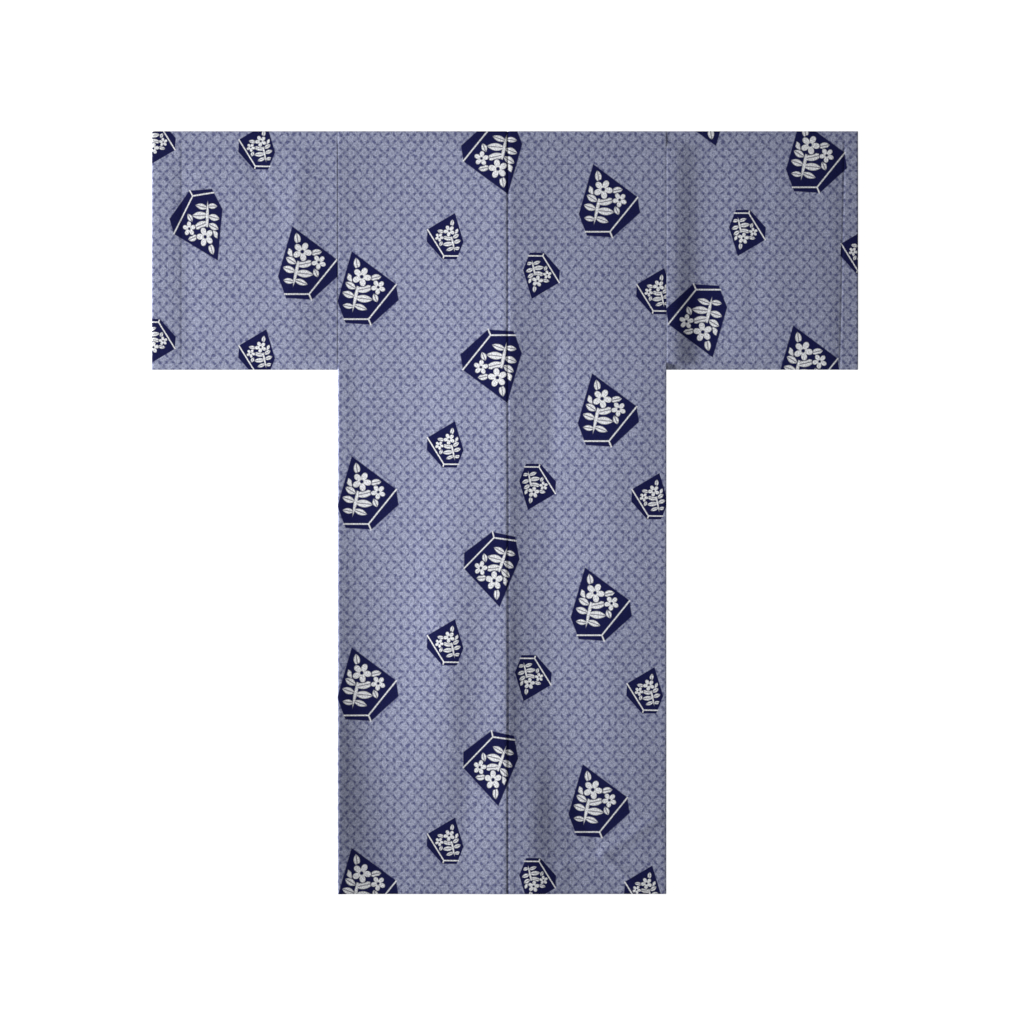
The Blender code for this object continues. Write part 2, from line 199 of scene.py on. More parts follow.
# Creases of the top cloth, in millimetres. A trough has a height below zero
Crease = collections.namedtuple("Crease", "x0 y0 x1 y1 half_width height")
CREASES = (
    Crease(10, 559, 100, 560, 5, -0.25),
    Crease(-50, 458, 2, 457, 5, -0.25),
    Crease(10, 270, 330, 268, 6, -0.20),
    Crease(105, -650, 178, -628, 7, 0.50),
    Crease(178, -628, 280, -560, 9, 0.55),
    Crease(178, -628, 250, -692, 8, 0.45),
    Crease(130, -540, 175, -625, 9, -0.40),
    Crease(90, 300, 86, 120, 16, -0.40),
    Crease(-150, -40, -120, -240, 14, 0.25),
    Crease(-270, 250, -262, 60, 14, -0.25),
    Crease(-592, 620, -578, 300, 16, -0.22),
    Crease(-470, 650, -420, 560, 14, -0.35),
    Crease(-560, 300, -430, 292, 12, -0.30),
    Crease(-375, 640, -400, 400, 18, 0.30),
    Crease(470, 640, 455, 320, 18, -0.35),
    Crease(560, 610, 600, 420, 14, -0.15),
    Crease(400, 290, 560, 296, 10, -0.25),
)

# Motifs: place in millimetres, size, upside down or not, tilt in degrees, share of the width
PRINT_UNIT = 1.835 * MM
SMALL_SCALE = 0.6
PITCH = 365
REPEATS = 5
Motif = collections.namedtuple("Motif", "x y size turned tilt width", defaults=(0, 1.0))
SLEEVE_MOTIFS = {
    "left": (
        Motif(-455, 669, "small", False), Motif(-455, 291, "small", False),
        Motif(-563, 524, "large", True, 9, 0.88), Motif(-361, 458, "large", False),
        Motif(-639, 315, "small", True), Motif(-670, 704, "small", True),
    ),
    "right": (
        Motif(358, 739, "large", True), Motif(352, 351, "large", True),
        Motif(571, 654, "large", False), Motif(558, 276, "large", False),
        Motif(444, 515, "small", True), Motif(650, 478, "small", False),
    ),
}
CENTRE_MOTIFS = (
    Motif(-24, 650, "large", True), Motif(-25, 267, "large", True),
    Motif(-27, -104, "large", True, -8, 0.91), Motif(-29, -469, "large", True, -8, 0.90),
)
BODY_MOTIFS = {
    "left": CENTRE_MOTIFS + (
        Motif(-252, 412, "large", False), Motif(-252, 36, "large", False),
        Motif(-252, -315, "large", False), Motif(-252, -682, "large", False),
        Motif(-109, 504, "small", False), Motif(-109, 122, "small", False),
        Motif(-109, -241, "small", False), Motif(-109, -605, "small", False),
    ),
    "right": CENTRE_MOTIFS + (
        Motif(191, 572, "large", False), Motif(189, 188, "large", False),
        Motif(176, -168, "large", False), Motif(172, -529, "large", False),
        Motif(66, 436, "small", True), Motif(59, 49, "small", True),
        Motif(51, -302, "small", True), Motif(59, -674, "small", True),
        Motif(275, 403, "small", False), Motif(266, 27, "small", False),
        Motif(257, -329, "small", False), Motif(253, -693, "small", False),
    ),
}
OKUMI_MOTIFS = {
    "left": tuple(Motif(10, y, "large", False) for y in (300, -65, -430))
    + tuple(Motif(60, y, "small", True) for y in (120, -245, -610)),
    "right": tuple(Motif(-20, y, "large", True) for y in (300, -65, -430))
    + tuple(Motif(-70, y, "small", False) for y in (120, -245, -610)),
}
# Where on the cloth's print the collar is cut, in metres across
COLLAR_PRINT_X = 0.4

# How far from its middle a motif may reach, and a place outside every motif, in print units
MOTIF_REACH = 48.0
NO_MOTIF = 90.0


def share(distance, reach):
    """0 where the distance is negative, 1 where it passes the reach, straight between them."""
    return np.clip(distance / reach, 0.0, 1.0)


def soft_share(distance, reach):
    """As share, with soft ends."""
    part = share(distance, reach)
    return part * part * (3 - 2 * part)


def collar_seam_x(side, y):
    """Where the collar is sewn on, and below it the free edge of the okumi."""
    rows = (COLLAR_START_Y, OKUMI_POINT_Y, TOP_Y)
    return np.interp(y, rows, (OKUMI_EDGE_X[side], FRONT_EDGE_X[side], NECK_X[side]))


def collar_span(y):
    """Width of a collar arm, straight across."""
    return np.interp(y, (OKUMI_POINT_Y, TOP_Y), (COLLAR_SPAN, COLLAR_WIDTH))


def lift(x, y):
    """How far a right-hand piece is raised by the left front, its okumi and its collar arm."""
    slope = CLIMB_FAR - CLIMB_NEAR
    beside_arm = share(y - COLLAR_START_Y + CLIMB_FAR, slope)
    seam = collar_seam_x("left", y)
    edge = seam + beside_arm * collar_span(y)
    on_left = share(edge + CLIMB_FAR - x, slope)
    on_arm = beside_arm * share(x - seam + CLIMB_FAR, slope)
    return on_left * (THIN + LAYER_GAP + on_arm * (COLLAR_THICKNESS - THIN))


def blurred(values, reach, axis):
    """Values of a regular grid smoothed along one axis by two passes of a running mean."""
    kernel = np.ones(2 * reach + 1) / (2 * reach + 1)
    for _ in range(2):
        pad = [(0, 0), (0, 0)]
        pad[axis] = (reach, reach)
        padded = np.pad(values, pad, mode="edge")
        values = np.apply_along_axis(np.convolve, axis, padded, kernel, mode="valid")
    return values


def section_grid(across, sections):
    """Fine grid of heights that runs smoothly through the cross sections."""
    places = sorted(sections)
    fine_x = np.arange(across[0], across[-1] + SECTION_STEP, SECTION_STEP)
    fine_y = np.arange(places[0], places[-1] + SECTION_STEP, SECTION_STEP)
    rows = np.array([np.interp(fine_x, across, sections[place]) for place in places])
    grid = np.array([np.interp(fine_y, places, column) for column in rows.T]).T
    grid = blurred(grid, SECTION_BLUR_ACROSS, 1)
    return fine_x, fine_y, blurred(grid, SECTION_BLUR_ALONG, 0)


def read_grid(grid, x, y):
    """Heights of a section grid, in metres, at places in metres."""
    fine_x, fine_y, values = grid
    column = np.clip((x / MM - fine_x[0]) / SECTION_STEP, 0, len(fine_x) - 1.001)
    row = np.clip((y / MM - fine_y[0]) / SECTION_STEP, 0, len(fine_y) - 1.001)
    c, r = column.astype(int), row.astype(int)
    fc, fr = column - c, row - r
    low = values[r, c] * (1 - fc) + values[r, c + 1] * fc
    high = values[r + 1, c] * (1 - fc) + values[r + 1, c + 1] * fc
    return (low * (1 - fr) + high * fr) * MM * RELIEF_SCALE


BACK_GRID = {
    "left": section_grid(LEFT_ACROSS, LEFT_SECTIONS),
    "right": section_grid(RIGHT_ACROSS, RIGHT_SECTIONS),
}


def crease_height(x, y):
    """Sum of the creases at each place."""
    total = np.zeros_like(x)
    for crease in CREASES:
        run = np.array((crease.x1 - crease.x0, crease.y1 - crease.y0)) * MM
        off_x, off_y = x - crease.x0 * MM, y - crease.y0 * MM
        along = np.clip((off_x * run[0] + off_y * run[1]) / (run @ run), 0, 1)
        distance = np.hypot(off_x - along * run[0], off_y - along * run[1])
        shape = np.exp(-((distance / (crease.half_width * MM)) ** 2))
        total += RELIEF_SCALE * crease.height * MM * shape
    return total


def below_fold(y):
    """0 at the shoulder fold, and 1 below it."""
    return soft_share(TOP_Y - FOLD_FLAT - y, FOLD_FADE)


def above_underarm(y):
    """0 at the bottom of a sleeve, and 1 above it."""
    return soft_share(y - SLEEVE_BOTTOM_Y - UNDERARM_FLAT, UNDERARM_FADE)


def body_relief(side, x, y):
    """Height of the back above a flat cloth. It comes down to the shoulder fold."""
    return (read_grid(BACK_GRID[side], x, y) + crease_height(x, y)) * below_fold(y)


def closed_share(y):
    """0 beside the armhole and 1 where the side of the body is closed."""
    return soft_share(SLEEVE_BOTTOM_Y + CLOSE_REACH / 2 - y, CLOSE_REACH)


def body_front_rise(side, x, y):
    """Height of the front above the floor: it follows the lifted side edge of the back."""
    edge = body_relief(side, np.full_like(x, SIDE_X[side]), y)
    near_edge = 1 - soft_share(np.abs(x - SIDE_X[side]), EDGE_LIFT_REACH)
    below_sleeve = soft_share(SLEEVE_BOTTOM_Y + EDGE_LIFT_FADE / 2 - y, EDGE_LIFT_FADE)
    rise = np.maximum(edge, 0) * near_edge * below_sleeve
    if side == "right":
        rise = rise + lift(x, y)
    return rise


def sleeve_relief(side, x, y):
    """Height of a sleeve's top cloth. At the armhole it meets the body's edge."""
    if side == "left":
        profile = np.interp(x / MM, LEFT_SLEEVE_ACROSS, LEFT_SLEEVE_HEIGHTS)
    else:
        profile = np.interp(x / MM, RIGHT_SLEEVE_ACROSS, RIGHT_SLEEVE_HEIGHTS)
    profile = profile * MM * np.interp(y / MM, SLEEVE_ALONG, SLEEVE_SHARES)
    armhole = body_relief(side, np.full_like(x, SIDE_X[side]), y)
    armhole = armhole * above_underarm(y)
    from_seam = TOWARDS[side] * (x - SIDE_X[side]) - ARMHOLE_FLAT[side]
    away = soft_share(from_seam, ARMHOLE_REACH[side])
    line_x = TOWARDS[side] * (HALF_SPAN - CUFF_TURN[side]) + CUFF_SLANT[side] * (y - CUFF_LINE_Y)
    groove = np.exp(-(((x - line_x) / STITCH_REACH) ** 2)) * STITCH_DEPTH[side]
    on_cuff = soft_share(TOWARDS[side] * (x - line_x) + LEDGE_REACH / 2, LEDGE_REACH)
    profile = profile + CUFF_LEDGE[side] * on_cuff
    rise = (armhole + SLEEVE_RISE[side]) * (1 - away) + (profile + crease_height(x, y)) * away
    return (rise - groove) * (below_fold(y) * above_underarm(y))


def folded_surface(x, v, radius, top_rise, front_rise):
    """Middle of a cloth laid over the shoulder fold, at each (x, v)."""
    quarter = radius * math.pi / 2
    shoulder_y = TOP_Y - radius - HALF_THIN
    y = shoulder_y + quarter - np.abs(v)
    angle = np.clip(v / radius, -math.pi / 2, math.pi / 2)
    on_fold = np.abs(v) < quarter
    flat_z = np.where(v > 0, 2 * radius + top_rise(x, y), front_rise(x, y))
    fold_z = radius * (1 + np.sin(angle))
    z = FLOOR_MID + np.where(on_fold, fold_z, flat_z)
    fold_y = shoulder_y + radius * np.cos(angle)
    return np.stack((x, np.where(on_fold, fold_y, y), z), axis=-1)


def unit(vectors):
    """Vectors of length one."""
    return vectors / np.maximum(np.linalg.norm(vectors, axis=-1, keepdims=True), SHORTEST)


def offset_surface(surface, x, v, offset):
    """Surface moved along its outward normal, which is up on the back."""
    along = surface(x, v + SLOPE_STEP) - surface(x, v - SLOPE_STEP)
    across = surface(x + SLOPE_STEP, v) - surface(x - SLOPE_STEP, v)
    return surface(x, v) + unit(np.cross(along, across)) * offset[..., None]


def shell(name, mid, place, thickness, motifs, kept=None):
    """A closed thin solid on a grid of middle points, on the kept cells or on all of them."""
    rows, columns = mid.shape[:2]
    if kept is None:
        kept = np.ones((rows - 1, columns - 1), bool)
    normal = unit(np.cross(np.gradient(mid, axis=0), np.gradient(mid, axis=1)))
    half = normal * thickness / 2
    points = np.concatenate(((mid + half).reshape(-1, 3), (mid - half).reshape(-1, 3)))
    number = np.arange(rows * columns).reshape(rows, columns)
    cells = np.stack(
        (number[:-1, :-1], number[1:, :-1], number[1:, 1:], number[:-1, 1:]), axis=-1
    )[kept]
    count = rows * columns
    top = cells
    bottom = cells[:, ::-1] + count
    sides = collections.Counter()
    for cell in cells.tolist():
        for start, end in zip(cell, cell[1:] + cell[:1]):
            sides[(start, end)] += 1
    rim = [
        (end, start, start + count, end + count)
        for start, end in sides
        if (end, start) not in sides
    ]
    faces = np.concatenate((top, bottom, np.array(rim, int)))
    used = np.unique(faces)
    renumber = np.zeros(2 * count, int)
    renumber[used] = np.arange(len(used))
    flat_place = np.concatenate((place.reshape(-1, 2),) * 2)
    mesh = bpy.data.meshes.new(name)
    mesh.from_pydata(points[used].tolist(), [], renumber[faces].tolist())
    mesh.shade_smooth()
    write_print(mesh, flat_place[used], motifs)
    mesh.materials.append(PRINTED_COTTON)
    piece = bpy.data.objects.new(name, mesh)
    bpy.context.scene.collection.objects.link(piece)
    return piece


def write_print(mesh, place, motifs):
    """Stores the place of each corner on the cloth, and its place in the nearest motif."""
    corners = np.zeros(len(mesh.loops), int)
    mesh.loops.foreach_get("vertex_index", corners)
    at = place[corners]
    mesh.uv_layers.new(name="cloth").data.foreach_set("uv", at.astype(np.float32).ravel())
    faces = np.repeat(np.arange(len(mesh.polygons)), 4)
    middle = at.reshape(-1, 4, 2).mean(axis=1)
    local = np.full((len(mesh.polygons), 4, 2), NO_MOTIF)
    kind = np.zeros(len(mesh.polygons))
    nearest = np.full(len(mesh.polygons), np.inf)
    corner_places = at.reshape(-1, 4, 2)
    for motif in motifs:
        large = motif.size == "large"
        scale = PRINT_UNIT * (1.0 if large else SMALL_SCALE)
        flip = -1.0 if motif.turned else 1.0
        mirror = 1.0 if large else -1.0
        factors = np.array((flip * mirror / motif.width, flip)) / scale
        tilt = math.radians(motif.tilt)
        turn = np.array(((math.cos(tilt), -math.sin(tilt)), (math.sin(tilt), math.cos(tilt))))
        centre = np.array((motif.x * MM, TOP_Y - motif.y * MM))
        distance = np.linalg.norm((middle - centre) / scale, axis=1)
        inside = (distance < MOTIF_REACH) & (distance < nearest)
        nearest[inside] = distance[inside]
        off = (corner_places[inside] - centre) * (1, -1)
        local[inside] = off @ turn * factors
        kind[inside] = 0.0 if large else 1.0
    layer = mesh.uv_layers.new(name="motif")
    layer.data.foreach_set("uv", local.astype(np.float32).ravel())
    small = mesh.attributes.new("small_motif", "FLOAT", "FACE")
    small.data.foreach_set("value", kind.astype(np.float32))


def with_repeats(motifs):
    """Motifs of a length of cloth, carried on over the shoulder at the same pitch."""
    columns = collections.defaultdict(list)
    for motif in motifs:
        columns[(round(motif.x, -2), motif.size, motif.turned)].append(motif)
    extra = []
    for members in columns.values():
        first = max(members, key=lambda motif: motif.y)
        extra += [first._replace(y=first.y + PITCH * turn) for turn in range(1, REPEATS + 1)]
    return tuple(motifs) + tuple(extra)


def arc(start, end, count):
    """Angles between two, which are given in degrees."""
    return np.radians(np.linspace(start, end, count))


def body_piece(side):
    """A body length, closed at the side below the sleeve. Its hem is turned up inside."""
    towards = TOWARDS[side]
    radius = FOLD_RADIUS["body"]
    quarter = radius * math.pi / 2
    hem_v = quarter + (TOP_Y - radius - HALF_THIN) - HEM_Y - HALF_THIN

    def surface(x, v):
        return folded_surface(
            x,
            v,
            radius,
            lambda x, y: body_relief(side, x, y),
            lambda x, y: body_front_rise(side, x, y),
        )

    # Rows: the turned hem, the back, round the fold, then the front
    turn_end = hem_v - TURN_RADIUS
    turned = np.linspace(turn_end - HEM_TURN, turn_end, HEM_ROWS)[:-1]
    bend = arc(180, 0, TURN_ROWS)
    back = np.linspace(turn_end, quarter, round(LENGTH / BACK_ROW))[1:]
    bends = np.linspace(quarter, -quarter, FOLD_ROWS)[1:]
    front = np.linspace(-quarter, -hem_v, round(LENGTH / FRONT_ROW))[1:]
    row_v = np.concatenate((turned, turn_end + TURN_RADIUS * np.sin(bend), back, bends, front))
    row_off = np.concatenate((
        np.full(len(turned), -2 * TURN_RADIUS),
        -TURN_RADIUS * (1 - np.cos(bend)),
        np.zeros(len(back) + len(bends) + len(front)),
    ))
    row_v, row_off = row_v[::-1], row_off[::-1]
    v = row_v[:, None]
    y = TOP_Y - radius - HALF_THIN + quarter - np.abs(v)
    on_back = v >= -HAIR

    # Columns, from the side to the middle: the curled side, the flat, and the middle seam
    curl = arc(CURL_DEGREES, 0, CURL_ROWS["body"])[None, :]
    closed = closed_share(y)
    curl_radius = EDGE_CURL * (1 - closed) + radius * closed
    side_start = SIDE_X[side] - towards * (curl_radius + HALF_THIN)
    bend_radius = curl_radius + row_off[:, None]
    curl_x = side_start + towards * bend_radius * np.sin(curl)
    curl_off = row_off[:, None] - bend_radius * (1 - np.cos(curl))
    front_edge = np.interp(y, (OKUMI_POINT_Y, TOP_Y), (FRONT_EDGE_X[side], NECK_X[side]))
    if side == "left":
        seam_start = CENTRE_X - CENTRE_CURL - CENTRE_CLEARANCE
        seam = arc(0, CENTRE_CURL_DEGREES, CENTRE_CURL_COLUMNS)[None, 1:]
        tail_x = seam_start + CENTRE_CURL * np.sin(seam) * np.ones_like(v)
        tail_off = row_off[:, None] - CENTRE_CURL * (1 - np.cos(seam))
    else:
        seam_start = CENTRE_X + CENTRE_DIP_REACH
        tail = np.linspace(CENTRE_DIP_REACH, -CENTRE_TUCK, CENTRE_DIP_COLUMNS)[None, 1:]
        tail_x = CENTRE_X + tail * np.ones_like(v)
        dip = CENTRE_DIP * (1 - soft_share(tail, CENTRE_DIP_REACH))
        tail_off = row_off[:, None] - dip
    flat_count = round(abs(seam_start - SIDE_X[side]) / COLUMN)
    part = np.linspace(0, 1, flat_count + 1)[None, 1:]
    neck_part = (NECK_X[side] - side_start) / (seam_start - side_start)
    neck_column = int(round(float(neck_part.mean()) * flat_count))
    flat_x = side_start + (seam_start - side_start) * part
    flat_off = row_off[:, None] * np.ones_like(part)
    x = np.concatenate((curl_x, flat_x, tail_x), axis=1)
    offset = np.concatenate((curl_off, flat_off, tail_off), axis=1)
    neck_index = curl.shape[1] + neck_column - 1
    front_part = np.arange(x.shape[1] - curl.shape[1] + 1) / neck_column
    front_x = side_start + (front_edge - side_start) * front_part[None, 1:]
    beyond = curl.shape[1]
    x[:, beyond:] = np.where(on_back, x[:, beyond:], front_x)
    offset[:, beyond:] = np.where(on_back, offset[:, beyond:], 0.0)
    kept = np.ones((x.shape[0] - 1, x.shape[1] - 1), bool)
    past_neck = np.arange(x.shape[1] - 1) >= neck_index
    kept[(row_v[:-1] < -HAIR)[:, None] & past_neck[None]] = False
    if side == "right":
        x, offset, kept = x[:, ::-1], offset[:, ::-1], kept[:, ::-1]
    all_v = v * np.ones_like(x)
    mid = offset_surface(surface, x, all_v, offset)
    place = np.stack((x, all_v), axis=-1)
    return shell(f"cotton_body_{side}", mid, place, THIN, with_repeats(BODY_MOTIFS[side]), kept)


def sleeve_piece(side):
    """A sleeve: a tube closed at the bottom, its cuff turned, its other edge under the body's."""
    towards = TOWARDS[side]
    radius = FOLD_RADIUS["sleeve"]
    quarter = radius * math.pi / 2
    shoulder_y = TOP_Y - radius - HALF_THIN
    bottom_y = SLEEVE_BOTTOM_Y + radius + HALF_THIN
    bottom_v = shoulder_y + quarter - bottom_y

    def surface(x, v):
        return folded_surface(
            x,
            v,
            radius,
            lambda x, y: sleeve_relief(side, x, y),
            lambda x, y: np.zeros_like(x),
        )

    # Columns, from the armhole out to the cuff and back inside it
    cuff_start = HALF_SPAN - HALF_THIN - TURN_RADIUS
    stitch = HALF_SPAN - CUFF_TURN[side]
    cuff_columns = round((cuff_start - stitch) / COLUMN) + 1
    armhole = abs(SIDE_X[side])
    tuck, depth = np.array(SLEEVE_TUCK).T
    start = armhole + tuck * MM + SLEEVE_TUCK_SHIFT[side]
    flat = np.concatenate((
        start,
        np.arange(armhole + COLUMN / 2, stitch + STITCH_CLEAR[0], COLUMN),
        np.arange(stitch + STITCH_ZONE[0], stitch + STITCH_ZONE[1], STITCH_COLUMN),
        np.linspace(stitch + STITCH_CLEAR[1], cuff_start, cuff_columns),
    ))
    turn = arc(0, 180, TURN_ROWS)[1:]
    inner = np.linspace(cuff_start, stitch, CUFF_INNER_COLUMNS)[1:]
    reach = np.concatenate((flat, cuff_start + TURN_RADIUS * np.sin(turn), inner))
    column_off = np.concatenate((
        -SLEEVE_TUCK_DEPTH * depth,
        np.zeros(len(flat) - len(start)),
        -TURN_RADIUS * (1 - np.cos(turn)),
        np.full(len(inner), -2 * TURN_RADIUS),
    ))[None, :]
    column_x = towards * reach[None, :]

    # Rows: the bottom's curl on the back, the back, round the fold, the front and its curl
    curl = arc(CURL_DEGREES, 0, CURL_ROWS["sleeve"])
    back = np.linspace(bottom_v, quarter, round(SLEEVE_DROP / SLEEVE_ROW))[1:]
    bends = np.linspace(quarter, -quarter, FOLD_ROWS)[1:]
    front = np.linspace(-quarter, -bottom_v, round(SLEEVE_DROP / FRONT_ROW))[1:]
    front_curl = curl[::-1][1:]
    ends = np.full(len(curl), bottom_v), np.full(len(front_curl), -bottom_v)
    base_v = np.concatenate((ends[0], back, bends, front, ends[1]))
    angle = np.concatenate((curl, np.zeros(len(back) + len(bends) + len(front)), front_curl))
    bend_radius = radius + column_off
    v = base_v[:, None] + np.sign(base_v)[:, None] * bend_radius * np.sin(angle)[:, None]
    offset = column_off - bend_radius * (1 - np.cos(angle))[:, None]
    x = column_x * np.ones_like(v)
    v, offset = v[::-1], offset[::-1]
    if side == "left":
        x, v, offset = x[:, ::-1], v[:, ::-1], offset[:, ::-1]
    mid = offset_surface(surface, x, v, offset)
    place = np.stack((x, v), axis=-1)
    return shell(f"cotton_sleeve_{side}", mid, place, THIN, with_repeats(SLEEVE_MOTIFS[side]))


def okumi_piece(side):
    """The overlap strip of a front, flat, or lifted where it crosses the other front."""
    towards = TOWARDS[side]
    seam_x = FRONT_EDGE_X[side] - towards * SEAM_GAP
    free_x = OKUMI_EDGE_X[side]
    top_y = OKUMI_POINT_Y - OKUMI_TOP_GAP
    y = np.linspace(HEM_Y + HALF_THIN, top_y, round(LENGTH / HIDDEN_STEP))[:, None]
    edge = np.where(y < COLLAR_START_Y, free_x, collar_seam_x(side, y))
    part = np.linspace(OKUMI_FIRST_SHARE, 1, round(OKUMI_WIDTH / HIDDEN_STEP))[None, :]
    x = seam_x + (edge - seam_x) * part
    y = y * np.ones_like(x)
    z = FLOOR_MID + (lift(x, y) if side == "right" else np.zeros_like(x))
    mid = np.stack((x, y, z), axis=-1)
    place = np.stack((x, TOP_Y - y), axis=-1)
    if side == "right":
        mid, place = mid[:, ::-1], place[:, ::-1]
    return shell(f"cotton_okumi_{side}", mid, place, THIN, OKUMI_MOTIFS[side])


def collar_lines():
    """Sewn and free ends of the lines where the collar starts or turns, with their sides."""
    arms = {}
    for side, towards in TOWARDS.items():
        arms[side] = []
        for y in (COLLAR_START_Y, OKUMI_POINT_Y):
            seam = float(collar_seam_x(side, y))
            sewn = (seam - towards * 2 * SEAM_GAP, y)
            free = (seam - towards * float(collar_span(y)), y)
            arms[side].append((sewn, free, towards))
        shoulder_y = TOP_Y - FOLD_RADIUS["body"] - THIN
        sewn = (NECK_X[side] - towards * 2 * SEAM_GAP, shoulder_y)
        free = (NECK_X[side] - towards * COLLAR_WIDTH, shoulder_y - COLLAR_WIDTH)
        arms[side].append((sewn, free, towards))
    return arms["left"] + arms["right"][::-1]


def collar_piece():
    """One doubled strip up the left front, across the back of the neck and down the right."""
    lines = collar_lines()
    part = np.linspace(0, 1, COLLAR_COLUMNS)[None, :, None]
    rows, raised, along = [], [], []
    travelled = 0.0
    for (sewn, free, towards), (next_sewn, next_free, next_towards) in zip(lines, lines[1:]):
        length = math.dist(sewn, next_sewn)
        count = max(round(length / HIDDEN_STEP), 2)
        for step in np.arange(count) / count:
            start = np.array(sewn) * (1 - step) + np.array(next_sewn) * step
            end = np.array(free) * (1 - step) + np.array(next_free) * step
            rows.append(start * (1 - part[0]) + end * part[0])
            raised.append(step if next_towards > towards else float(towards > 0))
            along.append(travelled + step * length)
        travelled += length
    sewn, free, towards = lines[-1]
    rows.append(np.array(sewn) * (1 - part[0]) + np.array(free) * part[0])
    raised.append(1.0)
    along.append(travelled)
    flat = np.array(rows)
    x, y = flat[..., 0], flat[..., 1]
    on_right = np.array(raised)[:, None]
    z = COLLAR_THICKNESS / 2 + COLLAR_LIFT + lift(x, y) * on_right
    mid = np.stack((x, y, z), axis=-1)
    across = part[0, :, 0][None, :] * COLLAR_WIDTH * np.ones_like(x)
    down = np.array(along)[:, None] * np.ones_like(x)
    place = np.stack((across + COLLAR_PRINT_X, down), axis=-1)
    return shell("cotton_collar", mid[:, ::-1], place[:, ::-1], COLLAR_THICKNESS, ())


# Colours of the print
LIGHT_BLUE = (0.366, 0.391, 0.525, 1.0)
DARK_BLUE = (0.090, 0.099, 0.222, 1.0)
NAVY = (0.0060, 0.0075, 0.0600, 1.0)
WHITE = (0.755, 0.764, 0.790, 1.0)
COTTON_ROUGHNESS = 0.9
COTTON_SHEEN = 0.03
COTTON_SPECULAR = 0.1

# Threads: how fine they are across and along the cloth, and how strongly they stand out
THREAD_SCALE = (420.0, 90.0, 1.0)
THREAD_DETAIL = 3.0
THREAD_STRENGTH = 0.25
THREAD_HEIGHT = 0.2 * MM

# The small repeat, soft waves that draw light rings with dark dots between them
DIAMOND = (24.6 * MM, 27.0 * MM)
WANDER = (9.0 * MM, 9.0 * MM)
WANDER_SCALE = 90.0
NOISE_DETAIL = 2.0
REPEAT_MEAN = 0.405
REPEAT_CONTRAST = 1.25
REPEAT_DARKEST = 0.95
WAVE_STRENGTHS = (0.11, 0.19, -0.15, -0.045, -0.11, 0.03)
BLOTCH_SCALE = 430.0
BLOTCH_STRENGTH = 1.4

# Outline of a wedge-shaped game piece, in print units from its middle, and its white lines
OUTLINES = {
    "large": (
        (-16, 36.5), (28.5, 3.5), (31, -12.3), (3.7, -37.1), (-22.2, -35.4), (-30.4, -13.6),
    ),
    "small": (
        (-15.5, 40.8), (30.2, 13.8), (31.5, -6.7), (5.2, -36.3), (-18.5, -36.3), (-30, -7.5),
    ),
}
WHITE_LINES = {
    "large": (
        ((28.5, 3.0), (0.8, -31.4)),
        ((0.8, -31.4), (-23.6, -31.4)),
        ((0.8, -31.4), (3.2, -37.1)),
    ),
    "small": (
        ((30.2, 13.3), (3.0, -30.7)),
        ((3.0, -30.7), (-21, -31)),
        ((3.0, -30.7), (4.0, -34.0)),
    ),
}
LINE_HALF_WIDTH = {"large": 0.68, "small": 1.05}
LINE_SOFTNESS = 0.5
PRINT_SOFTNESS = 0.6

# A flowering sprig on each motif, in print units. Wide strokes have a blank vein
VEIN_HALF_WIDTH = 0.35
VEINED_FROM = 2.5
BLOSSOM_MARGIN = 0.8
OUTLINE_MARGIN = 3.0
Stroke = collections.namedtuple("Stroke", "x y degrees length half_width")
SPRIG = (
    Stroke(-15, -23, 78, 31, 1.5),
    Stroke(-10, 18, 98, 12, 3.0),
    Stroke(2, 9, 12, 12, 3.0),
    Stroke(-12, -1, 148, 12, 3.2),
    Stroke(-12, -3, 12, 18, 3.6),
    Stroke(-13, -9, 160, 13, 3.2),
    Stroke(-13, -10, -6, 18, 3.6),
    Stroke(-14, -17, -20, 14, 2.8),
    Stroke(-14, -19, 172, 11, 2.6),
    Stroke(6, -6, -68, 9, 2.6),
    Stroke(-16, 6, 118, 10, 2.4),
)
Blossom = collections.namedtuple("Blossom", "x y radius turn")
BLOSSOMS = (Blossom(-6, 11, 9.5, 0.4), Blossom(10.5, 0.5, 7.2, 1.1))
PETALS = 5
PETAL_ROUNDNESS = 0.6
PETAL_SHARE = 0.75
EYE_SHARE = 0.2


class Nodes:
    """Adds nodes to a material and links them. A value is a socket or a number."""

    def __init__(self, tree):
        self.tree = tree

    def add(self, kind, values=(), **settings):
        node = self.tree.nodes.new(kind)
        for name, value in settings.items():
            setattr(node, name, value)
        for socket, value in zip(node.inputs, values):
            if value is None:
                continue
            if isinstance(value, bpy.types.NodeSocket):
                self.tree.links.new(value, socket)
            else:
                socket.default_value = value
        return node

    def math(self, operation, *values, clamp=False):
        return self.add("ShaderNodeMath", values, operation=operation, use_clamp=clamp).outputs[0]

    def vector(self, operation, *values):
        node = self.add("ShaderNodeVectorMath", values, operation=operation)
        return node.outputs["Value" if operation == "DOT_PRODUCT" else "Vector"]

    def edge(self, value, softness):
        """0 to 1 across the place where the value passes zero."""
        node = self.add("ShaderNodeMapRange", (value, -softness, softness, 0.0, 1.0))
        node.interpolation_type = "SMOOTHSTEP"
        return node.outputs[0]

    def mix(self, factor, low, high):
        node = self.add("ShaderNodeMix", data_type="RGBA")
        for name, value in (("Factor", factor), ("A", low), ("B", high)):
            socket = next(s for s in node.inputs if s.name == name and s.enabled)
            if isinstance(value, bpy.types.NodeSocket):
                self.tree.links.new(value, socket)
            else:
                socket.default_value = value
        return next(s for s in node.outputs if s.enabled)


